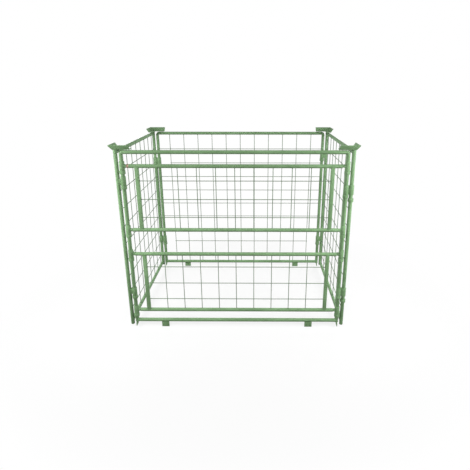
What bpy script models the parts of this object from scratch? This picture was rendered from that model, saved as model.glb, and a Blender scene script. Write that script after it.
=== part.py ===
"""Folding mesh collar for a footprint of 1200 x 800 mm.

Four walls of steel tube and welded wire stand in a rectangle. The back wall and the two side
walls are rigid frames. The front wall carries two flaps, one above the other. The long walls'
posts turn in sleeves that the side walls carry, so the empty collar folds flat.
X runs along the long walls, the front wall is at -Y, and +Z is up from the collar's lowest point.
"""

import math

import bmesh
import bpy
from mathutils import Matrix, Vector

# Clearances between pieces that touch, and between pieces that turn or slide
GAP = 0.0003
RUNNING_GAP = 0.00055

# Plan of the collar, between the axes of the long walls' posts
POST_SPAN = 1.200
WALL_SPAN = 0.800

# Tube frame
TUBE_R = 0.0105
BEND_R = 0.013
BEND_STEPS = 5
TUBE_SIDES = 16

# Front openings, from one tube axis to the next, bottom to top
BOTTOM_GAP = 0.070
FLAP_HEIGHT = 0.363
FLAP_SPACING = 0.147
TOP_GAP = 0.075

# Feet and locating tabs
BLADE_REACH = 0.0235
BLADE_THICKNESS = 0.003
BLADE_LENGTH = 0.034
BLADE_OFFSET = 0.0023
SIDE_POST_FOOT = 0.0155
TAB_INSET = 0.170
TAB_WIDTH = 0.044
TAB_THICKNESS = 0.004
TAB_OUTSET = 0.002
TAB_REACH = 0.0335

# Welded wire mesh
WIRE_R = 0.002
WIRE_SIDES = 8
WELD_DEPTH = 0.0005
LONG_PITCH = 0.1025
SIDE_PITCH = 0.0925
ROW_PITCH = 0.104
MESH_TOP_GAP = 0.111
MESH_EDGE_MIN = 0.045
FLAP_ROW_DROP = 0.0035
WIRE_OVERHANG = 0.006

# Flap frame
STILE_INSET = 0.077
STILE_WIDTH = 0.020
STILE_EDGE = 0.0015
PIN_R = 0.005
PIN_SIDES = 12
PIN_CLEARANCE = 0.0004
PIN_END_GAP = 0.0015

# Sleeves on the posts
SLEEVE_WALL = 0.00295
SLEEVE_HEIGHT = 0.050
EYE_WALL = 0.0036
EYE_REACH = 0.0105
EYE_GAP = 0.0015
CATCH_DROP = 0.006

# Stop rings
RING_STEP = 0.005
RING_HEIGHT = 0.018

# Sleeves at the corners, double at two of them
LINK_HEIGHT = 0.052
LINK_SPACING = 0.001
HIGH_LINK_GAP = 0.014
LOW_LINK_STEP = 0.047
FOOT_LINK_RISE = 0.122
WEB_WIDTH = 0.016
WEB_HEIGHT = 0.040
WEB_BITE = 0.0022
OUTER_RING_GAP = 0.022

# Stacking brackets
BRACKET_CLEARANCE = 0.0035
BRACKET_ARM = 0.093
BRACKET_WIDTH = 0.030
BRACKET_OVERHANG = 0.0015
BRACKET_SHEET = 0.004
BRACKET_FLARE = 0.016
BRACKET_RISE = 0.024

# Radii and places that follow
SLEEVE_R = TUBE_R + RUNNING_GAP + SLEEVE_WALL
RING_R = TUBE_R + RING_STEP
EYE_R = PIN_R + PIN_CLEARANCE + EYE_WALL
CORNER_OFFSET = 2 * SLEEVE_R + LINK_SPACING
POST_X = POST_SPAN / 2
TAB_X = POST_X - TAB_INSET
SIDE_POST_X = POST_X + CORNER_OFFSET
WALL_Y = WALL_SPAN / 2
BAR_END = POST_X - SLEEVE_R - EYE_REACH - EYE_GAP
PIN_TIP = POST_X - SLEEVE_R - PIN_END_GAP
LAYER = WIRE_R - WELD_DEPTH / 2
BOTTOM_RAIL_Z = TAB_REACH + TUBE_R
LOWER_BOTTOM_Z = BOTTOM_RAIL_Z + BOTTOM_GAP
LOWER_TOP_Z = LOWER_BOTTOM_Z + FLAP_HEIGHT
UPPER_BOTTOM_Z = LOWER_TOP_Z + FLAP_SPACING
UPPER_TOP_Z = UPPER_BOTTOM_Z + FLAP_HEIGHT
TOP_RAIL_Z = UPPER_TOP_Z + TOP_GAP
BRACKET_Z = TOP_RAIL_Z + TUBE_R + BRACKET_CLEARANCE
HIGH_LINK_Z = UPPER_TOP_Z - SLEEVE_HEIGHT / 2 - RING_HEIGHT - HIGH_LINK_GAP - LINK_HEIGHT / 2
LOW_LINK_Z = HIGH_LINK_Z - LOW_LINK_STEP
FOOT_LINK_Z = LOWER_BOTTOM_Z + FOOT_LINK_RISE

SIDES = {"left": -1, "right": 1}
ENDS = {"front": -1, "rear": 1}
LINK_HEIGHTS = {
    ("left", "front"): (HIGH_LINK_Z, FOOT_LINK_Z),
    ("left", "rear"): (LOW_LINK_Z, FOOT_LINK_Z),
    ("right", "front"): (LOW_LINK_Z, FOOT_LINK_Z),
    ("right", "rear"): (HIGH_LINK_Z, FOOT_LINK_Z),
}
DOUBLE_CORNERS = [("left", "rear"), ("right", "front")]


def clear_scene():
    for item in list(bpy.data.objects):
        bpy.data.objects.remove(item, do_unlink=True)


def paint(name):
    """Green powder coat, one material for each sub-part."""
    material = bpy.data.materials.new(name + "_paint")
    material.use_nodes = True
    shader = material.node_tree.nodes["Principled BSDF"]
    shader.inputs["Base Color"].default_value = (0.185, 0.315, 0.160, 1.0)
    shader.inputs["Roughness"].default_value = 0.42
    shader.inputs["Metallic"].default_value = 0.0
    return material


def world_place(item):
    """World position of an object whose parents are only moved, never turned."""
    place = Vector((0, 0, 0))
    while item:
        place += item.location
        item = item.parent
    return place


def attach(item, parent, place, turn=0.0):
    """Put an object at a world place, under its parent, turned about the vertical."""
    bpy.context.scene.collection.objects.link(item)
    item.parent = parent
    item.location = Vector(place) - world_place(parent)
    item.rotation_euler = (0, 0, turn)
    return item


def make_pivot(name, place, parent=None):
    """Empty on a joint's axis, the parent of every piece that moves with that joint."""
    pivot = bpy.data.objects.new(name, None)
    pivot.empty_display_size = 0.05
    return attach(pivot, parent, place)


def make_object(name, bm, parent, place, turn=0.0, crease=35):
    """Turn a bmesh drawn round its own origin into a painted object in the collar."""
    bmesh.ops.recalc_face_normals(bm, faces=bm.faces)
    mesh = bpy.data.meshes.new(name)
    bm.to_mesh(mesh)
    bm.free()
    mesh.shade_smooth()
    mesh.set_sharp_from_angle(angle=math.radians(crease))
    mesh.materials.append(paint(name))
    return attach(bpy.data.objects.new(name, mesh), parent, place, turn)


def add_rod(bm, start, end, radius, sides=TUBE_SIDES):
    """Closed cylinder between two points."""
    start = Vector(start)
    end = Vector(end)
    run = end - start
    turn = run.to_track_quat("Z", "Y").to_matrix().to_4x4()
    matrix = Matrix.Translation((start + end) / 2) @ turn
    bmesh.ops.create_cone(bm, cap_ends=True, segments=sides, radius1=radius, radius2=radius,
                          depth=run.length, matrix=matrix)


def add_box(bm, low, high):
    low = Vector(low)
    high = Vector(high)
    matrix = Matrix.Translation((low + high) / 2) @ Matrix.Diagonal((*(high - low), 1.0))
    bmesh.ops.create_cube(bm, size=1.0, matrix=matrix)


def rod(start, end, radius, sides=TUBE_SIDES):
    bm = bmesh.new()
    add_rod(bm, start, end, radius, sides)
    return bm


def box(low, high):
    bm = bmesh.new()
    add_box(bm, low, high)
    return bm


def skin(bm, loops):
    """Join a row of equal vertex loops with quads and close both ends."""
    for first, second in zip(loops, loops[1:]):
        for step in range(len(first)):
            following = (step + 1) % len(first)
            bm.faces.new((first[step], first[following], second[following], second[step]))
    bm.faces.new(list(reversed(loops[0])))
    bm.faces.new(loops[-1])


def turned(profile, x=0.0):
    """Solid revolved from (radius, height) points round a vertical axis."""
    bm = bmesh.new()
    loops = []
    for radius, height in profile:
        loop = []
        for step in range(TUBE_SIDES):
            angle = 2 * math.pi * step / TUBE_SIDES
            loop.append(bm.verts.new((x + radius * math.cos(angle), radius * math.sin(angle), height)))
        loops.append(loop)
    skin(bm, loops)
    return bm


def upright(radius, low, high, x=0.0):
    return turned([(radius, low), (radius, high)], x)


def combine(base, tools, operation):
    """Exact Boolean of one bmesh with others; the inputs are used up."""
    meshes = []
    for index, bm in enumerate([base, *tools]):
        bmesh.ops.recalc_face_normals(bm, faces=bm.faces)
        mesh = bpy.data.meshes.new("shape_%d" % index)
        bm.to_mesh(mesh)
        bm.free()
        meshes.append(mesh)
    items = [bpy.data.objects.new(mesh.name, mesh) for mesh in meshes]
    for item in items:
        bpy.context.scene.collection.objects.link(item)
    for tool in items[1:]:
        modifier = items[0].modifiers.new(operation.lower(), "BOOLEAN")
        modifier.operation = operation
        modifier.solver = "EXACT"
        modifier.object = tool
    evaluated = items[0].evaluated_get(bpy.context.evaluated_depsgraph_get())
    result = bmesh.new()
    result.from_mesh(evaluated.to_mesh())
    evaluated.to_mesh_clear()
    for item in items:
        bpy.data.objects.remove(item, do_unlink=True)
    for mesh in meshes:
        bpy.data.meshes.remove(mesh)
    bmesh.ops.remove_doubles(result, verts=result.verts, dist=0.00001)
    return result


def post(foot, top, ring_tops=()):
    """Post turned in one profile with the stop rings that are welded round it."""
    profile = [(TUBE_R, 0)]
    for ring_top in sorted(ring_tops):
        high = ring_top - foot
        low = high - RING_HEIGHT
        profile += [(TUBE_R, low), (RING_R, low), (RING_R, high), (TUBE_R, high)]
    profile.append((TUBE_R, top - foot))
    return turned(profile)


def stop_ring():
    """Stop ring of its own, round a side post, drawn down from its top face."""
    bore = upright(TUBE_R + GAP, -2 * RING_HEIGHT, RING_HEIGHT)
    return combine(upright(RING_R, -RING_HEIGHT, 0), [bore], "DIFFERENCE")


def bent_rail():
    """Top rail whose two ends are bent down to meet the posts."""
    bm = bmesh.new()
    half_turn = [math.pi / 2 * step / BEND_STEPS for step in range(BEND_STEPS + 1)]
    path = [(-1, angle) for angle in half_turn] + [(1, angle) for angle in reversed(half_turn)]
    loops = []
    for side, angle in path:
        outward = Vector((side * math.cos(angle), 0, math.sin(angle)))
        centre = Vector((side * (POST_X - BEND_R), 0, -BEND_R)) + outward * BEND_R
        loop = []
        for corner in range(TUBE_SIDES):
            turn = 2 * math.pi * corner / TUBE_SIDES
            swing = outward * (TUBE_R * math.cos(turn)) + Vector((0, TUBE_R * math.sin(turn), 0))
            loop.append(bm.verts.new(centre + swing))
        loops.append(loop)
    skin(bm, loops)
    return bm


def coped_rail(span):
    """Tube along X whose two ends are cut to the round of the posts it is welded to."""
    cutters = [upright(TUBE_R + GAP, -2 * TUBE_R, 2 * TUBE_R, x) for x in (-span / 2, span / 2)]
    return combine(rod((-span / 2, 0, 0), (span / 2, 0, 0), TUBE_R), cutters, "DIFFERENCE")


def foot_blade():
    half = BLADE_THICKNESS / 2
    return box((BLADE_OFFSET - half, -BLADE_LENGTH / 2, -BLADE_REACH),
               (BLADE_OFFSET + half, BLADE_LENGTH / 2, -GAP))


def locating_tab():
    """Plate that hangs below a bottom rail, on its outer half."""
    return box((-TAB_WIDTH / 2, TAB_OUTSET, -TUBE_R - TAB_REACH),
               (TAB_WIDTH / 2, TAB_OUTSET + TAB_THICKNESS, -TUBE_R - GAP))


def spaced(half_span, pitch, nearest=0.0):
    """Wire places either side of the middle, the nearest pair or wire this far from it."""
    count = math.floor((half_span - MESH_EDGE_MIN - nearest) / pitch)
    last = nearest + count * pitch
    total = 1 + round(2 * last / pitch)
    return [step * pitch - last for step in range(total)]


def wire_panel(places, low, high, crosses):
    """Uprights on the inner side welded to cross wires (height, start, end) on the outer side."""
    uprights = bmesh.new()
    for x in places:
        add_rod(uprights, (x, -LAYER, low), (x, -LAYER, high), WIRE_R, WIRE_SIDES)
    across = bmesh.new()
    for height, start, end in crosses:
        add_rod(across, (start, LAYER, height), (end, LAYER, height), WIRE_R, WIRE_SIDES)
    return combine(uprights, [across], "UNION")


def wall_panel(span, places, start_links, end_links):
    """Mesh of a full wall; a cross wire that would meet a corner sleeve ends at an upright."""
    low = BOTTOM_RAIL_Z + TUBE_R + GAP
    high = TOP_RAIL_Z - TUBE_R - GAP
    post_face = span / 2 - TUBE_R - GAP
    cut_back = places[-1] + WIRE_OVERHANG
    reach = LINK_HEIGHT / 2 + WIRE_R + RUNNING_GAP
    first = TOP_RAIL_Z - MESH_TOP_GAP
    count = math.floor((first - BOTTOM_RAIL_Z - MESH_EDGE_MIN) / ROW_PITCH)
    crosses = []
    for step in range(count + 1):
        height = first - step * ROW_PITCH
        ends = []
        for links in (start_links, end_links):
            near_link = any(abs(height - link) < reach for link in links)
            ends.append(cut_back if near_link else post_face)
        crosses.append((height, -ends[0], ends[1]))
    return wire_panel(places, low, high, crosses)


def corner_link(double):
    """Sleeve that turns on a long wall's post, welded to a side post or to a second sleeve on it."""
    low = -LINK_HEIGHT / 2
    high = LINK_HEIGHT / 2
    web = box((SLEEVE_R - WEB_BITE, -WEB_WIDTH / 2, -WEB_HEIGHT / 2),
              (CORNER_OFFSET, WEB_WIDTH / 2, WEB_HEIGHT / 2))
    others = [web]
    if double:
        others.append(upright(SLEEVE_R, low, high, CORNER_OFFSET))
    body = combine(upright(SLEEVE_R, low, high), others, "UNION")
    bores = [upright(TUBE_R + RUNNING_GAP, 2 * low, 2 * high),
             upright(TUBE_R + GAP, 2 * low, 2 * high, CORNER_OFFSET)]
    return combine(body, bores, "DIFFERENCE")


def hinge_sleeve():
    """Sleeve on a front post with an eye that holds the pin of a flap's bottom bar."""
    low = -SLEEVE_HEIGHT / 2
    high = SLEEVE_HEIGHT / 2
    eye = rod((0, 0, 0), (-SLEEVE_R - EYE_REACH, 0, 0), EYE_R, PIN_SIDES)
    body = combine(upright(SLEEVE_R, low, high), [eye], "UNION")
    hole = rod((-SLEEVE_R, 0, 0), (-SLEEVE_R - 2 * EYE_REACH, 0, 0), PIN_R + PIN_CLEARANCE, PIN_SIDES)
    bore = upright(TUBE_R + GAP, 2 * low, 2 * high)
    return combine(body, [bore, hole], "DIFFERENCE")


def lock_sleeve():
    """Sliding sleeve with a catch, open below, that drops over the pin of a flap's top bar."""
    low = -SLEEVE_HEIGHT / 2
    high = SLEEVE_HEIGHT / 2
    catch = box((-SLEEVE_R - EYE_REACH, -EYE_R, -CATCH_DROP), (0, EYE_R, EYE_R))
    body = combine(upright(SLEEVE_R, low, high), [catch], "UNION")
    half = PIN_R + PIN_CLEARANCE
    slot = box((-SLEEVE_R - 2 * EYE_REACH, -half, 2 * -CATCH_DROP), (-SLEEVE_R, half, half))
    bore = upright(TUBE_R + RUNNING_GAP, 2 * low, 2 * high)
    return combine(body, [bore, slot], "DIFFERENCE")


def flap_bar():
    """Tube with a turned-down pin at each end, along X."""
    bm = bmesh.new()
    loops = []
    steps = [(-PIN_TIP, PIN_R), (-BAR_END, PIN_R), (-BAR_END, TUBE_R),
             (BAR_END, TUBE_R), (BAR_END, PIN_R), (PIN_TIP, PIN_R)]
    for x, radius in steps:
        loop = []
        for corner in range(TUBE_SIDES):
            angle = 2 * math.pi * corner / TUBE_SIDES
            loop.append(bm.verts.new((x, radius * math.cos(angle), radius * math.sin(angle))))
        loops.append(loop)
    skin(bm, loops)
    return bm


def flap_stile():
    """Square upright whose ends are cut to the round of the two bars."""
    half = STILE_WIDTH / 2
    bm = box((-half, -half, 0), (half, half, FLAP_HEIGHT))
    upright_edges = [edge for edge in bm.edges if abs(edge.verts[0].co.z - edge.verts[1].co.z) > half]
    bmesh.ops.bevel(bm, geom=upright_edges, offset=STILE_EDGE, segments=1, affect="EDGES")
    bars = []
    for height in (0, FLAP_HEIGHT):
        bars.append(rod((-STILE_WIDTH, 0, height), (STILE_WIDTH, 0, height), TUBE_R + GAP))
    return combine(bm, bars, "DIFFERENCE")


def flap_panel():
    stile_face = POST_X - STILE_INSET - STILE_WIDTH / 2 - GAP
    middle = FLAP_HEIGHT / 2
    heights = [middle - FLAP_ROW_DROP + rise for rise in spaced(middle, ROW_PITCH)]
    crosses = [(height, -stile_face, stile_face) for height in heights]
    places = spaced(stile_face, LONG_PITCH)
    return wire_panel(places, TUBE_R + GAP, FLAP_HEIGHT - TUBE_R - GAP, crosses)


def stacking_bracket():
    """Bent sheet round the corner: a flat seat with a flared lip that guides what stands on it."""
    outer = TUBE_R + BRACKET_OVERHANG
    inner = outer - BRACKET_WIDTH
    slant = math.hypot(BRACKET_FLARE, BRACKET_RISE)
    lean = BRACKET_SHEET * BRACKET_RISE / slant
    step = BRACKET_SHEET * BRACKET_FLARE / slant
    bend = outer - BRACKET_SHEET * (slant - BRACKET_FLARE) / BRACKET_RISE
    outline = [(inner, 0), (outer, 0), (outer + BRACKET_FLARE, BRACKET_RISE),
               (outer + BRACKET_FLARE - lean, BRACKET_RISE + step),
               (bend, BRACKET_SHEET), (inner, BRACKET_SHEET)]
    tip = outer - BRACKET_ARM
    stations = [[(tip, across, height) for across, height in outline],
                [(across, across, height) for across, height in outline],
                [(across, tip, height) for across, height in outline]]
    bm = bmesh.new()
    skin(bm, [[bm.verts.new(point) for point in station] for station in stations])
    return bm


def build_long_wall(prefix, end, sleeve_heights, parent):
    """Frame of the front or back wall: posts with rings, rails, foot blades and tabs."""
    y = ENDS[end] * WALL_Y
    outward = 0.0 if end == "rear" else math.pi
    foot = BOTTOM_RAIL_Z - TUBE_R
    top = TOP_RAIL_Z - BEND_R - GAP
    for name, side in SIDES.items():
        ring_tops = [height - LINK_HEIGHT / 2 - GAP for height in LINK_HEIGHTS[(name, end)]]
        ring_tops += [height - SLEEVE_HEIGHT / 2 - GAP for height in sleeve_heights]
        x = side * POST_X
        turn = 0.0 if side > 0 else math.pi
        make_object("%s_%s_post" % (prefix, name), post(foot, top, ring_tops), parent, (x, y, foot))
        make_object("%s_%s_foot_blade" % (prefix, name), foot_blade(), parent, (x, y, foot), turn)
        place = (side * TAB_X, y, BOTTOM_RAIL_Z)
        make_object("%s_%s_locating_tab" % (prefix, name), locating_tab(), parent, place, outward)
    make_object(prefix + "_top_rail", bent_rail(), parent, (0, y, TOP_RAIL_Z))
    make_object(prefix + "_bottom_rail", coped_rail(POST_SPAN), parent, (0, y, BOTTOM_RAIL_Z))


def build_side_wall(name, parent):
    """Side wall: posts, rails, mesh, the corner sleeves and the stacking brackets."""
    side = SIDES[name]
    x = side * SIDE_POST_X
    foot = BOTTOM_RAIL_Z - TUBE_R - SIDE_POST_FOOT
    turn = 0.0 if side > 0 else math.pi
    bracket_turns = {("right", "rear"): 0.0, ("left", "rear"): math.pi / 2,
                     ("left", "front"): math.pi, ("right", "front"): -math.pi / 2}
    for end_name, end in ENDS.items():
        prefix = "%s_%s" % (name, end_name)
        y = end * WALL_Y
        heights = LINK_HEIGHTS[(name, end_name)]
        double = (name, end_name) in DOUBLE_CORNERS
        make_object(prefix + "_post", post(foot, BRACKET_Z - GAP), parent, (x, y, foot))
        for level, height in zip(("upper", "lower"), heights):
            place = (side * POST_X, y, height)
            make_object("%s_%s_link" % (prefix, level), corner_link(double), parent, place, turn)
            if (name, end_name) == ("right", "front"):
                place = (x, y, height - LINK_HEIGHT / 2 - OUTER_RING_GAP)
                make_object("%s_%s_ring" % (prefix, level), stop_ring(), parent, place)
        make_object(prefix + "_stacking_bracket", stacking_bracket(), parent, (x, y, BRACKET_Z),
                    bracket_turns[(name, end_name)])
    for level, height in (("top", TOP_RAIL_Z), ("bottom", BOTTOM_RAIL_Z)):
        make_object("%s_%s_rail" % (name, level), coped_rail(WALL_SPAN), parent, (x, 0, height),
                    math.pi / 2)
    gripping = [LINK_HEIGHTS[(name, end)] if (name, end) in DOUBLE_CORNERS else ()
                for end in ("front", "rear")]
    if side > 0:
        gripping.reverse()
    places = spaced(WALL_SPAN / 2 - TUBE_R, SIDE_PITCH, SIDE_PITCH / 2)
    panel = wall_panel(WALL_SPAN, places, *gripping)
    make_object(name + "_wire_mesh", panel, parent, (x, 0, 0), -side * math.pi / 2, crease=50)


def build_flap(prefix, bottom_z, front):
    """Hinged flap with its two bars, two stiles and mesh, and the sleeves that hold it."""
    top_z = bottom_z + FLAP_HEIGHT
    hinge = make_pivot(prefix + "_hinge", (0, -WALL_Y, bottom_z), front)
    make_object(prefix + "_bottom_bar", flap_bar(), hinge, (0, -WALL_Y, bottom_z))
    make_object(prefix + "_top_bar", flap_bar(), hinge, (0, -WALL_Y, top_z))
    make_object(prefix + "_wire_mesh", flap_panel(), hinge, (0, -WALL_Y, bottom_z), math.pi, crease=50)
    for name, side in SIDES.items():
        piece = "%s_%s" % (prefix, name)
        turn = 0.0 if side > 0 else math.pi
        stile_x = side * (POST_X - STILE_INSET)
        make_object(piece + "_stile", flap_stile(), hinge, (stile_x, -WALL_Y, bottom_z))
        make_object(piece + "_hinge_sleeve", hinge_sleeve(), front,
                    (side * POST_X, -WALL_Y, bottom_z), turn)
        slide = make_pivot(piece + "_lock_slide", (side * POST_X, -WALL_Y, top_z), front)
        make_object(piece + "_lock_sleeve", lock_sleeve(), slide,
                    (side * POST_X, -WALL_Y, top_z), turn)


def build_collar():
    back = make_pivot("back_wall", (0, WALL_Y, 0))
    build_long_wall("back", "rear", [], back)
    places = spaced(POST_SPAN / 2 - TUBE_R, LONG_PITCH)
    panel = wall_panel(POST_SPAN, places, LINK_HEIGHTS[("left", "rear")], LINK_HEIGHTS[("right", "rear")])
    make_object("back_wire_mesh", panel, back, (0, WALL_Y, 0), crease=50)
    left = make_pivot("left_wall_hinge", (-POST_X, WALL_Y, 0), back)
    right = make_pivot("right_wall_hinge", (POST_X, WALL_Y, 0), back)
    build_side_wall("left", left)
    build_side_wall("right", right)
    front = make_pivot("front_wall_hinge", (-POST_X, -WALL_Y, 0), left)
    bar_heights = [LOWER_BOTTOM_Z, LOWER_TOP_Z, UPPER_BOTTOM_Z, UPPER_TOP_Z]
    build_long_wall("front", "front", bar_heights, front)
    build_flap("lower_flap", LOWER_BOTTOM_Z, front)
    build_flap("upper_flap", UPPER_BOTTOM_Z, front)


clear_scene()
build_collar()
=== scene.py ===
"""Dresses the folding mesh collar: bent tubes, welded wire, sleeves, flaps and their coat."""

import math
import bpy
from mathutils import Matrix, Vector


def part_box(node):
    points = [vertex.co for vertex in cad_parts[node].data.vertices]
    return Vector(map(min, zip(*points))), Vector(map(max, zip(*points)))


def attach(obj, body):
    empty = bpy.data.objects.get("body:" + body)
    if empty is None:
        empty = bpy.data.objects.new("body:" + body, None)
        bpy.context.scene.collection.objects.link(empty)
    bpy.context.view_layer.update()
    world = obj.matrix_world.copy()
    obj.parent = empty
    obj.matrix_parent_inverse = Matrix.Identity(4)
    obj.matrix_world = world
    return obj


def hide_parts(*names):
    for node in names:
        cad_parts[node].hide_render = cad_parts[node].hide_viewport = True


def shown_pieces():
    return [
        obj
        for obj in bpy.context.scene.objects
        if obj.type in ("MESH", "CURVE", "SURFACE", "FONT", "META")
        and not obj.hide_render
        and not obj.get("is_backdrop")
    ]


bl_info = {
    "name": "Folding Mesh Collar",
    "version": (1, 0, 0),
    "blender": (4, 5, 0),
    "location": "View3D > Sidebar > Collar",
    "description": "Builds the visible pieces of a folding mesh collar on its packed frame",
    "category": "Object",
}

import bpy
from bpy.props import FloatProperty, FloatVectorProperty, IntProperty, PointerProperty
from bpy.types import Operator, Panel, PropertyGroup
from mathutils import Vector

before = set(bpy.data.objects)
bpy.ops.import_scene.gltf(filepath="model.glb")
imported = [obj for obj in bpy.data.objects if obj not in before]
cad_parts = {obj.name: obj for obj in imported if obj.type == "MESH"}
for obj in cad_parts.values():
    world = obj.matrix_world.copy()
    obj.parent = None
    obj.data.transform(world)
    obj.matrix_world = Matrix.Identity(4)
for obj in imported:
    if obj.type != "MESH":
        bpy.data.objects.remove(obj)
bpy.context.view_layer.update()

SIDES = {"left": -1, "right": 1}
ENDS = {"front": -1, "rear": 1}
LEVELS = ("upper", "lower")
FLAPS = ("upper_flap", "lower_flap")
LONG_WALLS = ("back", "front")
WALL_AT = {"rear": "back", "front": "front"}  # the long wall at each end of a side wall
DOUBLE_CORNERS = (("left", "rear"), ("right", "front"))
QUARTER = math.pi / 2

# Fine sizes in metres that go with the way the steel is worked
MERGE = 0.00001  # corners nearer than this become one
RIM_EDGE = 0.0009  # rounding of sleeve rims, tabs, corner seats and catch roofs
FINE_EDGE = 0.0008  # rounding of lugs, eyes, cheeks and bar ends
BLADE_EDGE = 0.0006  # rounding of the thin foot blades
STILE_EDGE = 0.0022  # rounding of the stiles' square tube
SEAM = 0.0018  # half the width of a bead along a lug or a stile
CATCH_SEAM = 0.0015  # half the width of a bead round a catch
SMALL_BEAD = 0.8  # a fine bead against a full one
SPREAD_BEAD = 1.7  # a weld lump against its wire
BITE = 0.001  # how far a welded piece runs into the one that carries it
WIRE_BITE = 0.0008  # how far a cross wire runs into its post
WIRE_CLEAR = 0.00055  # least gap from a cross wire to the end of a sleeve
RING_CLEAR = 0.0003  # from a sleeve down to the ring that carries it
LUG_MIDDLE = {"upper": -0.005, "lower": 0.003}  # a single sleeve's lug above its middle
PIN_CLEAR = 0.0054  # from a pin's axis to the inner faces of its catch
CATCH_SIDE = 0.009  # from a pin's axis to the outer faces of its catch, and an eye's radius
EYE_WALL = 0.0036  # wall of a hinge eye round its pin


# Sizes, colours and stage


class CollarSizes(PropertyGroup):
    """Sizes that a maker would change; places and radii come from the frame."""
    tube_wall: FloatProperty(
        name="Tube wall", description="Wall of the frame tubes", default=0.002, unit="LENGTH")
    bend_radius: FloatProperty(
        name="Bend radius", description="Radius of the bends at the top of the long walls",
        default=0.013, unit="LENGTH")
    bend_steps: IntProperty(
        name="Bend steps", description="Facets along each bend", default=12)
    tube_sides: IntProperty(
        name="Tube sides", description="Facets round each tube", default=40)
    sleeve_wall: FloatProperty(
        name="Sleeve wall", description="Wall of the sleeves on the posts", default=0.0028,
        unit="LENGTH")
    ring_wall: FloatProperty(
        name="Ring wall", description="Wall of the stop rings", default=0.0048, unit="LENGTH")
    broken_edge: FloatProperty(
        name="Broken edge", description="Rounding of cut steel edges", default=0.0007,
        unit="LENGTH")
    weld_radius: FloatProperty(
        name="Weld radius", description="Half the width of a weld bead", default=0.0017,
        unit="LENGTH")
    wire_radius: FloatProperty(
        name="Wire radius", description="Half the thickness of the mesh wires", default=0.002,
        unit="LENGTH")
    wire_layer: FloatProperty(
        name="Wire layer", description="Offset of each wire layer from the middle of the mesh",
        default=0.00175, unit="LENGTH")
    long_pitch: FloatProperty(
        name="Long pitch", description="From one upright wire to the next on the long walls",
        default=0.1025, unit="LENGTH")
    side_pitch: FloatProperty(
        name="Side pitch", description="From one upright wire to the next on the side walls",
        default=0.0925, unit="LENGTH")
    row_pitch: FloatProperty(
        name="Row pitch", description="From one cross wire to the next", default=0.104,
        unit="LENGTH")
    mesh_edge: FloatProperty(
        name="Mesh edge", description="Least distance from the last wire to the tube",
        default=0.045, unit="LENGTH")
    mesh_top_gap: FloatProperty(
        name="Mesh top gap", description="From the top rail down to the first cross wire",
        default=0.1145, unit="LENGTH")
    flap_row_drop: FloatProperty(
        name="Flap row drop", description="How far a flap's cross wires sit below its middle",
        default=0.0035, unit="LENGTH")
    wire_overhang: FloatProperty(
        name="Wire overhang", description="How far a cut cross wire passes the last upright",
        default=0.006, unit="LENGTH")
    pin_radius: FloatProperty(
        name="Pin radius", description="Half the thickness of the flap pins", default=0.005,
        unit="LENGTH")
    pin_length: FloatProperty(
        name="Pin length", description="How far a flap pin stands out of its bar", default=0.0105,
        unit="LENGTH")
    worn_end: FloatProperty(
        name="Worn end", description="Length of bare steel at a worn end of a flap bar",
        default=0.011, unit="LENGTH")
    bracket_sheet: FloatProperty(
        name="Bracket sheet", description="Thickness of the stacking brackets", default=0.004,
        unit="LENGTH")
    bracket_width: FloatProperty(
        name="Bracket width", description="Width of each arm of a stacking bracket", default=0.030,
        unit="LENGTH")
    bracket_arm: FloatProperty(
        name="Bracket arm", description="Length of each arm of a stacking bracket", default=0.093,
        unit="LENGTH")
    bracket_flare: FloatProperty(
        name="Bracket flare", description="How far the lip of a bracket flares out",
        default=0.016, unit="LENGTH")
    bracket_rise: FloatProperty(
        name="Bracket rise", description="How far the lip of a bracket rises", default=0.024,
        unit="LENGTH")


class CollarPaint(PropertyGroup):
    """Colours of the coat, the wires and the bare steel."""
    coat: FloatVectorProperty(
        name="Coat", description="Green powder coat on the tubes", subtype="COLOR",
        default=(0.215, 0.360, 0.185))
    coat_dark: FloatVectorProperty(
        name="Thin coat", description="Coat where it is thin or dirty", subtype="COLOR",
        default=(0.120, 0.220, 0.098))
    wire_coat: FloatVectorProperty(
        name="Wire coat", description="Coat on the mesh wires", subtype="COLOR",
        default=(0.140, 0.190, 0.130))
    scuff: FloatVectorProperty(
        name="Scuff", description="Pale marks where the coat is rubbed", subtype="COLOR",
        default=(0.330, 0.430, 0.300))
    bare_steel: FloatVectorProperty(
        name="Bare steel", description="Worn steel of the flap pins", subtype="COLOR",
        default=(0.300, 0.240, 0.190))
    rust: FloatVectorProperty(
        name="Rust", description="Rust on the flap pins", subtype="COLOR",
        default=(0.200, 0.090, 0.045))


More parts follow.
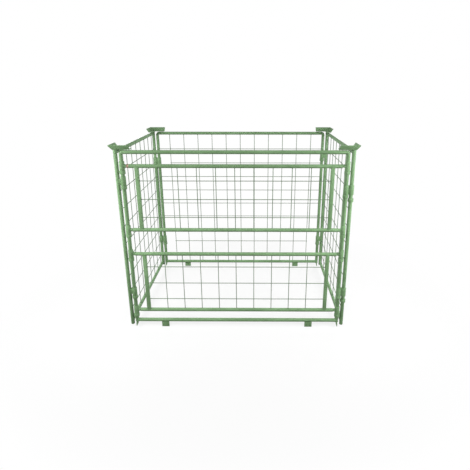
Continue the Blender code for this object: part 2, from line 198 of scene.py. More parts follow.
class CollarStage(PropertyGroup):
    """Camera, lamps and floor."""
    eye: FloatVectorProperty(
        name="Camera place", description="Where the camera stands", subtype="TRANSLATION",
        unit="LENGTH", default=(0.110, -2.414, 1.4105))
    tilt: FloatProperty(
        name="Camera tilt", description="How far the camera looks down", subtype="ANGLE",
        default=math.radians(17.26))
    turn: FloatProperty(
        name="Camera turn", description="How far the camera turns from straight ahead",
        subtype="ANGLE", default=0.0059)
    lens: FloatProperty(
        name="Lens", description="Focal length on a 36 mm sensor, in millimetres", default=29.54)
    shift: FloatVectorProperty(
        name="Shift", description="How far the picture's middle lies off the lens, in widths",
        size=2, default=(-0.0384, -0.0690))
    floor: FloatVectorProperty(
        name="Floor", description="Colour of the floor as the camera sees it", subtype="COLOR",
        default=(0.85, 0.85, 0.85))
    floor_bounce: FloatVectorProperty(
        name="Floor bounce", description="Colour with which the floor lights the collar",
        subtype="COLOR", default=(0.15, 0.14, 0.13))
    backdrop: FloatVectorProperty(
        name="Backdrop", description="Colour behind the collar", subtype="COLOR",
        default=(1.0, 1.0, 1.0))
    sky_strength: FloatProperty(
        name="Sky strength", description="Strength of the even light from all round", default=0.08)
    top_power: FloatProperty(
        name="Top lamp", description="Power of the large lamp overhead", default=16.0,
        unit="POWER")
    front_power: FloatProperty(
        name="Front lamp", description="Power of the lamp by the camera", default=22.5,
        unit="POWER")
    side_power: FloatProperty(
        name="Side lamps", description="Power of the lamp at each side", default=10.5,
        unit="POWER")
    rear_power: FloatProperty(
        name="Rear lamps", description="Power of the lamp behind each rear corner", default=42.0,
        unit="POWER")


def sizes():
    return bpy.context.scene.collar_sizes


# Places read from the frame


def low(node):
    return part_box(node)[0]


def high(node):
    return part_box(node)[1]


def middle(node):
    return (low(node) + high(node)) / 2


def over(node, height):
    """Place on the upright middle line of a piece, at a height."""
    return Vector((middle(node).x, middle(node).y, height))


def half_size(node, axis):
    return (getattr(high(node), axis) - getattr(low(node), axis)) / 2


def tube_radius():
    return half_size("left_front_post", "y")


def post_span():
    return middle("front_right_post").x - middle("front_left_post").x


def wall_span():
    return middle("left_rear_post").y - middle("left_front_post").y


def links(name, end):
    """The corner sleeves at one corner."""
    return [f"{name}_{end}_{level}_link" for level in LEVELS]


def turn_of(side):
    """Pieces are drawn for the right side and turned half round for the left."""
    return 0.0 if side > 0 else math.pi


# Modelling by hand


def clear_selection():
    if bpy.context.object and bpy.context.object.mode != "OBJECT":
        bpy.ops.object.mode_set(mode="OBJECT")
    bpy.ops.object.select_all(action="DESELECT")


def only(piece):
    clear_selection()
    piece.select_set(True)
    bpy.context.view_layer.objects.active = piece


def settle():
    """Moves the active piece's place, turn and scale into its mesh."""
    bpy.ops.object.transform_apply(location=True, rotation=True, scale=True)
    return bpy.context.object


def edit():
    bpy.ops.object.mode_set(mode="EDIT")
    bpy.ops.mesh.select_mode(type="VERT")
    bpy.ops.mesh.select_all(action="SELECT")


def leave_edit():
    bpy.ops.object.mode_set(mode="OBJECT")
    return bpy.context.object


def edit_only(kind, test):
    """Edit mode with only those faces, edges or corners selected that pass the test."""
    bpy.ops.object.mode_set(mode="EDIT")
    bpy.ops.mesh.select_mode(type=kind)
    bpy.ops.mesh.select_all(action="DESELECT")
    leave_edit()
    mesh = bpy.context.object.data
    if kind == "FACE":
        for face in mesh.polygons:
            face.select = test(face.normal)
    elif kind == "EDGE":
        for edge in mesh.edges:
            edge.select = test(*[mesh.vertices[index].co for index in edge.vertices])
    else:
        for vertex in mesh.vertices:
            vertex.select = test(vertex.co)
    bpy.ops.object.mode_set(mode="EDIT")


def pull(*move):
    """Draws out what is selected along a move."""
    bpy.ops.mesh.extrude_region_move(TRANSFORM_OT_translate={"value": move})


def mend_skin():
    """Closes the seams of the active mesh and turns its faces outwards."""
    edit()
    bpy.ops.mesh.remove_doubles(threshold=MERGE)
    bpy.ops.mesh.normals_make_consistent(inside=False)
    return leave_edit()


def apply_modifier(kind, **settings):
    bpy.ops.object.modifier_add(type=kind)
    modifier = bpy.context.object.modifiers[-1]
    for name, value in settings.items():
        setattr(modifier, name, value)
    bpy.ops.object.modifier_apply(modifier=modifier.name)
    return bpy.context.object


def thicken(wall):
    """Gives an open shell its wall on the inside."""
    return apply_modifier("SOLIDIFY", thickness=wall, offset=-1.0, use_even_offset=True)


def break_edges(width, segments=2, angle=40):
    return apply_modifier("BEVEL", width=width, segments=segments, limit_method="ANGLE",
                          angle_limit=math.radians(angle), use_clamp_overlap=True)


def join(pieces):
    only(pieces[0])
    for piece in pieces:
        piece.select_set(True)
    bpy.ops.object.join()
    return bpy.context.object


def copy(piece, place, turn=0.0):
    """Copy with a mesh of its own, turned about the vertical and set at its place."""
    only(piece)
    bpy.ops.object.duplicate(linked=False)
    fresh = bpy.context.object
    fresh.rotation_euler = (0, 0, turn)
    fresh.location = place
    return settle()


def discard(*pieces):
    clear_selection()
    for piece in pieces:
        piece.select_set(True)
    bpy.ops.object.delete()


def repeat(count, step):
    """Copies all of the active mesh along a step, so that there are count of it."""
    edit()
    for _ in range(count - 1):
        bpy.ops.mesh.duplicate_move(TRANSFORM_OT_translate={"value": step})
    return leave_edit()


def finish(piece, name, body, *nodes, smooth=35):
    """Names a finished piece, smooths it, and puts it on its body in place of its CAD nodes."""
    only(piece)
    bpy.ops.object.shade_smooth_by_angle(angle=math.radians(smooth))
    piece.name = piece.data.name = name
    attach(piece, body)
    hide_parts(*nodes)


def rod(first, last, radius, sides, ends):
    """Round rod between two points, or an open skin where its ends are NOTHING."""
    clear_selection()
    first, last = Vector(first), Vector(last)
    run = last - first
    bpy.ops.mesh.primitive_cylinder_add(
        vertices=sides, radius=radius, depth=run.length, end_fill_type=ends,
        location=(first + last) / 2, rotation=run.to_track_quat("Z", "Y").to_euler())
    return settle()


def tube(first, last, radius, wall, edge=None):
    """Open tube with a wall and broken rims."""
    rod(first, last, radius, sizes().tube_sides, "NOTHING")
    thicken(wall)
    return break_edges(edge or sizes().broken_edge)


def block(lowest, highest, edge, segments=2):
    """Plate or block with broken edges."""
    clear_selection()
    lowest, highest = Vector(lowest), Vector(highest)
    bpy.ops.mesh.primitive_cube_add(size=1.0, location=(lowest + highest) / 2)
    bpy.context.object.scale = highest - lowest
    settle()
    return break_edges(edge, segments)


def strip_weld(place, reach, segments=12, rings=8):
    """Straight weld bead: a drop that reaches so far each way from its middle."""
    clear_selection()
    bpy.ops.mesh.primitive_uv_sphere_add(segments=segments, ring_count=rings, radius=1.0,
                                         location=place)
    bpy.context.object.scale = reach
    return settle()


def ring_weld(place, radius, thickness, rotation=(0, 0, 0)):
    """Weld bead all round a tube, which is upright unless it is turned."""
    clear_selection()
    bpy.ops.mesh.primitive_torus_add(
        major_radius=radius, minor_radius=thickness, major_segments=32, minor_segments=8,
        location=place, rotation=rotation)
    return settle()


def saddle_weld():
    """Bead where a rail along X, coming from -X, meets a post of the same size at the origin."""
    clear_selection()
    bpy.ops.mesh.primitive_torus_add(
        major_radius=tube_radius(), minor_radius=sizes().weld_radius * SMALL_BEAD,
        major_segments=36, minor_segments=8, rotation=(0, math.radians(-135), 0))
    bpy.context.object.scale = (math.sqrt(2), 1, 1)
    settle()
    edit()
    bpy.ops.mesh.bisect(plane_co=(0, 0, 0), plane_no=(0, 0, -1), clear_outer=True)
    leave_edit()
    apply_modifier("MIRROR", use_axis=(False, False, True))
    return mend_skin()


def coped_tube(span):
    """Tube along X whose ends are notched to fit round the posts it runs between."""
    rod((-span / 2, 0, 0), (span / 2, 0, 0), tube_radius(), sizes().tube_sides, "NOTHING")
    for side in (-1, 1):
        for rise in (-1, 1):
            edit()
            bpy.ops.mesh.bisect(plane_co=(side * span / 2, 0, 0), plane_no=(side, 0, rise),
                                clear_outer=True)
            leave_edit()
    return thicken(sizes().tube_wall)


def sleeve_tube(half_height, radius, x=0):
    """Upright sleeve about the origin, or about a place along X."""
    return tube((x, 0, -half_height), (x, 0, half_height), radius, sizes().sleeve_wall, RIM_EDGE)


def rim_welds(half_height, x=0):
    """Beads at both rims of a sleeve that is welded to its post."""
    return [ring_weld((x, 0, end * (half_height - 0.0002)), tube_radius() + 0.0008,
                      sizes().weld_radius * SMALL_BEAD) for end in (-1, 1)]


# Wire mesh


def wire(first, last, radius):
    """Straight wire with rounded ends."""
    rod(first, last, radius, 12, "NGON")
    return break_edges(radius * 0.35, 2, 60)


def nugget(place, reach):
    """Small weld lump of few faces."""
    return strip_weld(place, reach, 8, 5)


def spaced(half_span, pitch, nearest=0.0):
    """Wire places either side of the middle, the nearest pair or wire this far from it."""
    count = math.floor((half_span - sizes().mesh_edge - nearest) / pitch)
    last = nearest + count * pitch
    total = 1 + round(2 * last / pitch)
    return [step * pitch - last for step in range(total)]


def wire_panel(places, bottom, top, crosses):
    """Mesh along X at the origin, its uprights inside and its cross wires outside.

    A cross wire is its height, its start, its end, and whether each end is welded."""
    s = sizes()
    r = s.wire_radius
    first = places[0]
    step = (places[1] - first, 0, 0)
    inner, outer = -s.wire_layer, s.wire_layer
    spread = SPREAD_BEAD * r
    parts = [wire((first, inner, bottom - BITE), (first, inner, top + BITE), r)]
    repeat(len(places), step)
    for height in (bottom, top):
        parts.append(nugget((first, inner, height), (spread, spread, 1.1 * r)))
        repeat(len(places), step)
    for height, start, end, welds in crosses:
        parts.append(wire((start, outer, height), (end, outer, height), r))
        for x, welded in zip((start, end), welds):
            if welded:
                parts.append(nugget((x, outer, height), (1.1 * r, spread, spread)))
        parts.append(nugget((first, 0, height), (1.25 * r, 0.9 * r, 1.25 * r)))
        repeat(len(places), step)
    return join(parts)


def wall_panel(wall, span, places, start_links, end_links):
    """Mesh of a full wall; a cross wire that would meet a corner sleeve ends past an upright."""
    s = sizes()
    radius = tube_radius()
    bottom_rail = middle(wall + "_bottom_rail").z
    top_rail = high(wall + "_top_rail").z - radius
    cut_back = places[-1] + s.wire_overhang
    post_face = span / 2 - radius
    clear = half_size("left_rear_upper_link", "z") + s.wire_radius + WIRE_CLEAR
    first = top_rail - s.mesh_top_gap
    count = math.floor((first - bottom_rail - s.mesh_edge) / s.row_pitch)
    crosses = []
    for step in range(count + 1):
        height = first - step * s.row_pitch
        near = [any(abs(height - middle(sleeve).z) < clear for sleeve in sleeves)
                for sleeves in (start_links, end_links)]
        ends = [cut_back if close else post_face + WIRE_BITE for close in near]
        crosses.append((height, -ends[0], ends[1], [not close for close in near]))
    return wire_panel(places, bottom_rail + radius, top_rail - radius, crosses)


# Operators


class COLLAR_OT_hoops(Operator):
    """Bends the tube that forms both posts and the top rail of each long wall"""
    bl_idname = "collar.hoops"
    bl_label = "Long wall hoops"

    def execute(self, context):
        s = sizes()
        radius = tube_radius()
        for wall in LONG_WALLS:
            left = middle(wall + "_left_post")
            right = middle(wall + "_right_post")
            foot = low(wall + "_left_post").z
            bend = high(wall + "_top_rail").z - radius - s.bend_radius
            clear_selection()
            bpy.ops.mesh.primitive_circle_add(
                vertices=s.tube_sides, radius=radius, fill_type="NOTHING",
                location=(left.x, left.y, foot))
            piece = settle()
            edit()
            pull(0, 0, bend - foot)
            bpy.ops.mesh.spin(steps=s.bend_steps, angle=-QUARTER, axis=(0, 1, 0),
                              center=(left.x + s.bend_radius, left.y, bend))
            pull(right.x - left.x - 2 * s.bend_radius, 0, 0)
            bpy.ops.mesh.spin(steps=s.bend_steps, angle=-QUARTER, axis=(0, 1, 0),
                              center=(right.x - s.bend_radius, right.y, bend))
            pull(0, 0, foot - bend)
            mend_skin()
            thicken(s.tube_wall)
            break_edges(s.broken_edge)
            finish(piece, wall + "_hoop", wall + "_wall", wall + "_left_post",
                   wall + "_right_post", wall + "_top_rail")
        return {"FINISHED"}


class COLLAR_OT_sills(Operator):
    """Notches and welds the bottom tube of each long wall"""
    bl_idname = "collar.sills"
    bl_label = "Long wall sills"

    def execute(self, context):
        span = post_span()
        master = coped_tube(span)
        bead = saddle_weld()
        for wall in LONG_WALLS:
            place = middle(wall + "_bottom_rail")
            finish(copy(master, place), wall + "_sill", wall + "_wall", wall + "_bottom_rail")
            beads = [copy(bead, place + Vector((side * span / 2, 0, 0)), turn_of(side))
                     for side in SIDES.values()]
            finish(join(beads), wall + "_sill_welds", wall + "_wall", smooth=60)
        discard(master, bead)
        return {"FINISHED"}


class COLLAR_OT_stop_rings(Operator):
    """Sets the stop rings below every sleeve, each with a bead where it is welded to its post"""
    bl_idname = "collar.stop_rings"
    bl_label = "Stop rings"

    def ring_master(self, radius):
        s = sizes()
        height = 2 * half_size("right_front_upper_ring", "z")
        ring = tube((0, 0, -height), (0, 0, 0), radius, s.ring_wall, s.broken_edge * 1.3)
        bead = ring_weld((0, 0, -height), tube_radius() + s.weld_radius * 0.5, s.weld_radius)
        return join([ring, bead])

    def execute(self, context):
        master = self.ring_master(half_size("right_front_upper_ring", "y"))
        for end, wall in WALL_AT.items():
            rings = []
            for name in SIDES:
                post = f"{wall}_{name}_post"
                sleeves = links(name, end)
                if wall == "front":
                    sleeves += [f"{flap}_{name}_{kind}_sleeve" for flap in FLAPS
                                for kind in ("hinge", "lock")]
                rings += [copy(master, over(post, low(sleeve).z - RING_CLEAR))
                          for sleeve in sleeves]
            finish(join(rings), wall + "_stop_rings", wall + "_wall")
        for level in LEVELS:
            node = f"right_front_{level}_ring"
            finish(copy(master, over(node, high(node).z)), f"right_front_{level}_stop_ring",
                   "right_wall", node)
        discard(master)
        return {"FINISHED"}


class COLLAR_OT_feet(Operator):
    """Welds the foot blades under the posts and the locating tabs under the sills"""
    bl_idname = "collar.feet"
    bl_label = "Blades and tabs"

    def execute(self, context):
        s = sizes()
        for wall in LONG_WALLS:
            for name in SIDES:
                node = f"{wall}_{name}_foot_blade"
                blade = block(low(node), high(node), BLADE_EDGE)
                bead = strip_weld(over(node, high(node).z),
                                  (s.weld_radius * 1.5, 0.009, s.weld_radius))
                finish(join([blade, bead]), f"{wall}_{name}_blade", wall + "_wall", node)
                node = f"{wall}_{name}_locating_tab"
                tab = block(low(node), high(node) + Vector((0, 0, 2 * BITE)), RIM_EDGE)
                seam = over(node, high(node).z + 0.0004)
                reach = (half_size(node, "x") - 0.002, 0.0032, s.weld_radius)
                finish(join([tab, strip_weld(seam, reach)]), f"{wall}_{name}_tab",
                       wall + "_wall", node)
        return {"FINISHED"}


class COLLAR_OT_side_frames(Operator):
    """Cuts the posts and rails of the two side walls and welds them"""
    bl_idname = "collar.side_frames"
    bl_label = "Side wall frames"

    def execute(self, context):
        s = sizes()
        radius = tube_radius()
        span = wall_span()
        rail = coped_tube(span)
        bead = saddle_weld()
        for name in SIDES:
            body = name + "_wall"
            beads = []
            for end in ENDS:
                node = f"{name}_{end}_post"
                top = over(node, high(node).z)
                post = tube(over(node, low(node).z), top, radius, s.tube_wall)
                collar = ring_weld(top - Vector((0, 0, 0.0006)), radius + 0.0006, s.weld_radius)
                finish(join([post, collar]), f"{name}_{end}_corner_post", body, node)
            for level in ("top", "bottom"):
                node = f"{name}_{level}_rail"
                place = middle(node)
                finish(copy(rail, place, QUARTER), f"{name}_{level}_tube", body, node)
                for end in ENDS.values():
                    spot = place + Vector((0, end * span / 2, 0))
                    beads.append(copy(bead, spot, end * QUARTER))
            finish(join(beads), name + "_rail_welds", body, smooth=60)
        discard(rail, bead)
        return {"FINISHED"}


class COLLAR_OT_wall_meshes(Operator):
    """Welds up the wire mesh of the back wall and of the two side walls"""
    bl_idname = "collar.wall_meshes"
    bl_label = "Wall meshes"

    def gripping(self, name, end):
        """The sleeves that grip the side post at a corner, if any do."""
        return links(name, end) if (name, end) in DOUBLE_CORNERS else []

    def hang(self, panel, wall, place, turn=0.0):
        """Sets a welded panel in its wall."""
        finish(copy(panel, place, turn), wall + "_mesh", wall + "_wall", wall + "_wire_mesh",
               smooth=50)
        discard(panel)

    def execute(self, context):
        s = sizes()
        radius = tube_radius()
        span = post_span()
        places = spaced(span / 2 - radius, s.long_pitch)
        panel = wall_panel("back", span, places, links("left", "rear"), links("right", "rear"))
        self.hang(panel, "back", (0, middle("back_left_post").y, 0))
        span = wall_span()
        places = spaced(span / 2 - radius, s.side_pitch, s.side_pitch / 2)
        for name, side in SIDES.items():
            ends = ("rear", "front") if side > 0 else ("front", "rear")
            panel = wall_panel(name, span, places, *[self.gripping(name, end) for end in ends])
            self.hang(panel, name, (middle(name + "_front_post").x, 0, 0), -side * QUARTER)
        return {"FINISHED"}


class COLLAR_OT_corner_links(Operator):
    """Makes the corner sleeves that turn on the long walls' posts, single or double"""
    bl_idname = "collar.corner_links"
    bl_label = "Corner sleeves"

    def sleeve_master(self, double, lug_middle):
        """Sleeve at the origin with a lug along X to the side post, or to a sleeve on that."""
        radius = half_size("left_front_upper_link", "y")
        offset = middle("right_front_post").x - middle("front_right_post").x
        half_height = half_size("right_front_upper_link", "z")
        lug_end = offset - (radius if double else tube_radius() * 0.65)
        lug_half = 0.020 if double else 0.017
        lug_side = 0.008
        parts = [sleeve_tube(half_height, radius),
                 block((radius - 0.003, -lug_side, lug_middle - lug_half),
                       (lug_end + BITE, lug_side, lug_middle + lug_half), FINE_EDGE)]
        for face in (-1, 1):
            for x in (radius - 0.0012, lug_end):
                parts.append(strip_weld((x, face * (lug_side - 0.0003), lug_middle),
                                        (SEAM, SEAM, lug_half - 0.0015)))
        if double:
            parts.append(sleeve_tube(half_height, radius, offset))
            parts += rim_welds(half_height, offset)
        return join(parts)

    def execute(self, context):
        double = self.sleeve_master(True, 0)
        single = {level: self.sleeve_master(False, LUG_MIDDLE[level]) for level in LEVELS}
        for name, side in SIDES.items():
            for end in ENDS:
                post = f"{WALL_AT[end]}_{name}_post"
                for level in LEVELS:
                    node = f"{name}_{end}_{level}_link"
                    master = double if (name, end) in DOUBLE_CORNERS else single[level]
                    link = copy(master, over(post, middle(node).z), turn_of(side))
                    finish(link, f"{name}_{end}_{level}_sleeve", name + "_wall", node)
        discard(double, *single.values())
        return {"FINISHED"}


class COLLAR_OT_flap_frames(Operator):
    """Turns down the ends of the flap bars into pins and welds the stiles between them"""
    bl_idname = "collar.flap_frames"
    bl_label = "Flap bars and stiles"

    def bar_master(self):
        """Bar along X with a chamfered shoulder and a bare pin at each end."""
        s = sizes()
        radius = tube_radius()
        shoulder = high("upper_flap_top_bar").x - s.pin_length
        clear_selection()
        bpy.ops.mesh.primitive_cylinder_add(
            vertices=s.tube_sides, radius=radius, depth=2 * shoulder, end_fill_type="NGON",
            rotation=(0, QUARTER, 0))
        bar = settle()
        edit_only("FACE", lambda normal: abs(normal.x) > 0.9)
        bpy.ops.mesh.inset(thickness=radius - s.pin_radius, use_individual=True)
        bpy.ops.mesh.extrude_faces_move(TRANSFORM_OT_shrink_fatten={"value": s.pin_length})
        leave_edit()
        break_edges(FINE_EDGE, 2, 50)
        for side in SIDES.values():  # a cut where the coat of a worn end stops
            edit()
            bpy.ops.mesh.bisect(plane_co=(side * (shoulder - s.worn_end), 0, 0),
                                plane_no=(1, 0, 0))
            leave_edit()
        return bar

    def stile_master(self):
        """Square tube that runs from one bar into the other."""
        node = "upper_flap_left_stile"
        half = half_size(node, "x")
        bottom = middle("upper_flap_bottom_bar").z - middle(node).z
        top = middle("upper_flap_top_bar").z - middle(node).z
        parts = [block((-half, -half, bottom), (half, half, top), STILE_EDGE, 3)]
        radius = tube_radius()
        seam = math.sqrt(radius * radius - half * half)
        for face in (-1, 1):
            for height in (bottom + seam + 0.0006, top - seam - 0.0006):
                parts.append(strip_weld((0, face * (half - 0.0004), height),
                                        (half - 0.001, 0.0016, SEAM)))
            for height, rise in ((bottom, 1), (top, -1)):
                parts.append(strip_weld((face * half, 0, height + rise * (radius + 0.0006)),
                                        (SEAM, 0.0075, 0.0016)))
        return join(parts)

    def execute(self, context):
        bar = self.bar_master()
        stile = self.stile_master()
        for flap in FLAPS:
            for level in ("top", "bottom"):
                node = f"{flap}_{level}_bar"
                finish(copy(bar, middle(node)), f"{flap}_{level}_tube", flap, node)
            for name in SIDES:
                node = f"{flap}_{name}_stile"
                finish(copy(stile, middle(node)), f"{flap}_{name}_upright", flap, node)
        discard(bar, stile)
        return {"FINISHED"}


class COLLAR_OT_flap_meshes(Operator):
    """Welds up the wire mesh of the two flaps"""
    bl_idname = "collar.flap_meshes"
    bl_label = "Flap meshes"

    def execute(self, context):
        s = sizes()
        radius = tube_radius()
        stile_face = low("upper_flap_right_stile").x
        height = middle("upper_flap_top_bar").z - middle("upper_flap_bottom_bar").z
        centre = height / 2
        crosses = [(centre - s.flap_row_drop + rise, -stile_face, stile_face, (True, True))
                   for rise in spaced(centre, s.row_pitch)]
        panel = wire_panel(spaced(stile_face, s.long_pitch), radius, height - radius, crosses)
        for flap in FLAPS:
            placed = copy(panel, middle(flap + "_bottom_bar"), math.pi)
            finish(placed, flap + "_mesh", flap, flap + "_wire_mesh", smooth=50)
        discard(panel)
        return {"FINISHED"}


def at_flap_corners(master, kind):
    """Copies a sleeve to both front posts for each flap, one after the other."""
    for flap in FLAPS:
        for name, side in SIDES.items():
            node = f"{flap}_{name}_{kind}_sleeve"
            place = over(f"front_{name}_post", middle(node).z)
            yield f"{flap}_{name}", node, copy(master, place, turn_of(side))


class COLLAR_OT_hinge_sleeves(Operator):
    """Sets the sleeves whose eyes hold the pins of the flaps' bottom bars"""
    bl_idname = "collar.hinge_sleeves"
    bl_label = "Hinge sleeves"

    def execute(self, context):
        node = "upper_flap_right_hinge_sleeve"
        axis = middle("front_right_post").x
        radius = high(node).x - axis
        half_height = half_size(node, "z")
        eye_end = low(node).x - axis
        sleeve = sleeve_tube(half_height, radius)
        eye = tube((eye_end, 0, 0), (BITE - radius, 0, 0), CATCH_SIDE, EYE_WALL, FINE_EDGE)
        seam = ring_weld((-radius - 0.0002, 0, 0), CATCH_SIDE + 0.0002, 0.0014, (0, QUARTER, 0))
        master = join([sleeve, eye, seam, *rim_welds(half_height)])
        for corner, node, placed in at_flap_corners(master, "hinge"):
            finish(placed, corner + "_hinge_eye", "front_wall", node)
        discard(master)
        return {"FINISHED"}


class COLLAR_OT_lock_sleeves(Operator):
    """Sets the sliding sleeves whose catches drop over the pins of the flaps' top bars"""
    bl_idname = "collar.lock_sleeves"
    bl_label = "Lock sleeves"

    def execute(self, context):
        node = "upper_flap_right_lock_sleeve"
        axis = middle("front_right_post").x
        radius = high(node).x - axis
        reach = low(node).x - axis
        root = 0.0015 - radius
        drop = -0.006
        roof = block((reach, -CATCH_SIDE, PIN_CLEAR), (root, CATCH_SIDE, CATCH_SIDE), RIM_EDGE)
        parts = [sleeve_tube(half_size(node, "z"), radius), roof]
        for face in (-1, 1):
            cheek = sorted((face * PIN_CLEAR, face * CATCH_SIDE))
            parts.append(block((reach, cheek[0], drop), (root, cheek[1], CATCH_SIDE - 0.0005),
                               FINE_EDGE))
            parts.append(strip_weld((-radius + 0.0004, face * (CATCH_SIDE + 0.0002), 0.0015),
                                    (CATCH_SEAM, CATCH_SEAM, 0.0075)))
        parts.append(strip_weld((-radius, 0, CATCH_SIDE + 0.0002),
                                (CATCH_SEAM, CATCH_SIDE - 0.0005, CATCH_SEAM)))
        master = join(parts)
        for corner, node, placed in at_flap_corners(master, "lock"):
            finish(placed, corner + "_catch", corner + "_lock", node)
        discard(master)
        return {"FINISHED"}


class COLLAR_OT_stacking_brackets(Operator):
    """Folds the corner seats whose flared lip guides what is stacked on top"""
    bl_idname = "collar.stacking_brackets"
    bl_label = "Stacking brackets"

    def sheet_master(self):
        """Corner seat of the right rear corner, its post at the origin, as bent sheet."""
        s = sizes()
        node = "right_rear_stacking_bracket"
        outer = high(node).x - middle("right_rear_post").x - s.bracket_flare
        top = high(node).z - low(node).z
        inner = outer - s.bracket_width
        run = s.bracket_arm - s.bracket_width
        near = 0.00005
        clear_selection()
        bpy.ops.mesh.primitive_plane_add(size=s.bracket_width,
                                         location=((inner + outer) / 2, (inner + outer) / 2, 0))
        settle()
        first_arm = (lambda a, b: max(a.x, b.x) < inner + near, (-run, 0, 0))
        second_arm = (lambda a, b: max(a.y, b.y) < inner + near and min(a.x, b.x) > inner - near,
                      (0, -run, 0))
        lip = (lambda a, b: min(a.y, b.y) > outer - near or min(a.x, b.x) > outer - near,
               (0, 0, s.bracket_rise))
        for test, move in (first_arm, second_arm, lip):
            edit_only("EDGE", test)
            pull(*move)
            leave_edit()
        for along, move in ((0, (s.bracket_flare, 0, 0)), (1, (0, s.bracket_flare, 0))):
            edit_only("VERT", lambda place: place.z > near and place[along] > outer - near)
            bpy.ops.transform.translate(value=move)
            leave_edit()
        seat = mend_skin()
        level = [face for face in seat.data.polygons if abs(face.normal.z) > 0.99]
        up = level[0].normal.z > 0
        apply_modifier("SOLIDIFY", thickness=s.bracket_sheet, offset=1.0 if up else -1.0,
                       use_even_offset=True)
        edit_only("VERT", lambda place: place.z > top)
        bpy.ops.transform.resize(value=(1, 1, 0), center_override=(0, 0, top))
        leave_edit()
        return break_edges(RIM_EDGE, 3, 30)

    def execute(self, context):
        seat = self.sheet_master()
        turns = {("right", "rear"): 0.0, ("left", "rear"): QUARTER, ("left", "front"): math.pi,
                 ("right", "front"): -QUARTER}
        for name in SIDES:
            for end in ENDS:
                node = f"{name}_{end}_stacking_bracket"
                place = over(f"{name}_{end}_post", low(node).z)
                placed = copy(seat, place, turns[name, end])
                finish(placed, f"{name}_{end}_corner_seat", name + "_wall", node, smooth=30)
        discard(seat)
        return {"FINISHED"}


# Coat and bare steel

# How fine each pattern of the finish is, as a noise scale on places in metres
CLOUD, MOTTLE, RUB, SHEEN, PEEL, PIT = 7.0, 55.0, 120.0, 30.0, 700.0, 160.0
RUST_PATCH, STEEL_GRAIN = 220.0, 600.0
# Noise level from which the coat is rubbed: the tubes knock about more than the wires
TUBE_RUBBED, WIRE_RUBBED = 0.665, 0.80
COAT_END = 0.0012  # how far the coat runs past a flap bar's shoulder onto its pin


def add_node(tree, kind, **inputs):
    """New shader node with its inputs set; an underscore in a name stands for a space."""
    made = tree.nodes.new("ShaderNode" + kind)
    for name, value in inputs.items():
        made.inputs[name.replace("_", " ")].default_value = value
    return made


def noise(tree, place, scale, detail, roughness=0.5):
    made = add_node(tree, "TexNoise", Scale=scale, Detail=detail, Roughness=roughness)
    tree.links.new(place.outputs["Object"], made.inputs["Vector"])
    return made.outputs["Fac"]


def window(tree, value, first, last, low_value=0.0, high_value=1.0):
    """Passes a value through a range, clamped at both ends."""
    made = add_node(tree, "MapRange", From_Min=first, From_Max=last, To_Min=low_value,
                    To_Max=high_value)
    tree.links.new(value, made.inputs["Value"])
    return made.outputs["Result"]


def blend(tree, share, first, second):
    """Mixes two colours; each is a colour or a socket."""
    made = add_node(tree, "Mix")
    made.data_type = "RGBA"
    tree.links.new(share, made.inputs["Factor"])
    for name, colour in (("A", first), ("B", second)):
        socket = [item for item in made.inputs if item.name == name and item.type == "RGBA"][0]
        if hasattr(colour, "links"):
            tree.links.new(colour, socket)
        else:
            socket.default_value = (*colour, 1.0)
    return [item for item in made.outputs if item.type == "RGBA"][0]


def calculate(tree, operation, first, second):
    made = add_node(tree, "Math")
    made.operation = operation
    tree.links.new(first, made.inputs[0])
    tree.links.new(second, made.inputs[1])
    return made.outputs[0]


def bump(tree, height, strength, distance, under=None):
    made = add_node(tree, "Bump", Strength=strength, Distance=distance)
    tree.links.new(height, made.inputs["Height"])
    if under:
        tree.links.new(under, made.inputs["Normal"])
    return made.outputs["Normal"]


def new_material(name):
    material = bpy.data.materials.new(name)
    material.use_nodes = True
    tree = material.node_tree
    return material, tree, tree.nodes["Principled BSDF"], add_node(tree, "TexCoord")


def coat_material(name, colour, paint, scuff_level):
    """Powder coat: cloudy tone, orange peel, pits and a few rubbed spots."""
    material, tree, shader, place = new_material(name)
    cloud = window(tree, noise(tree, place, CLOUD, 4.0), 0.35, 0.68, 0.0, 0.55)
    mottle = window(tree, noise(tree, place, MOTTLE, 5.0, 0.6), 0.40, 0.75, 0.0, 0.35)
    rubbed = window(tree, noise(tree, place, RUB, 6.0, 0.62), scuff_level, scuff_level + 0.05)
    tone = blend(tree, cloud, colour, paint.coat_dark)
    tone = blend(tree, mottle, tone, paint.coat_dark)
    tone = blend(tree, rubbed, tone, paint.scuff)
    tree.links.new(tone, shader.inputs["Base Color"])
    tree.links.new(window(tree, noise(tree, place, SHEEN, 4.0), 0.3, 0.7, 0.48, 0.66),
                   shader.inputs["Roughness"])
    peel = bump(tree, noise(tree, place, PEEL, 2.0), 0.12, 0.0004)
    pits = bump(tree, noise(tree, place, PIT, 4.0), 0.10, 0.0006, peel)
    tree.links.new(pits, shader.inputs["Normal"])
    shader.inputs["Specular IOR Level"].default_value = 0.20
    return material


def steel_material(name, paint):
    """Worn bare steel with patches of rust."""
    material, tree, shader, place = new_material(name)
    rusty = window(tree, noise(tree, place, RUST_PATCH, 6.0, 0.6), 0.42, 0.60)
    tone = blend(tree, rusty, paint.bare_steel, paint.rust)
    tree.links.new(tone, shader.inputs["Base Color"])
    tree.links.new(window(tree, rusty, 0.0, 1.0, 0.35, 0.85), shader.inputs["Roughness"])
    tree.links.new(window(tree, rusty, 0.0, 1.0, 0.75, 0.05), shader.inputs["Metallic"])
    grain = bump(tree, noise(tree, place, STEEL_GRAIN, 4.0), 0.3, 0.0004)
    tree.links.new(grain, shader.inputs["Normal"])
    return material


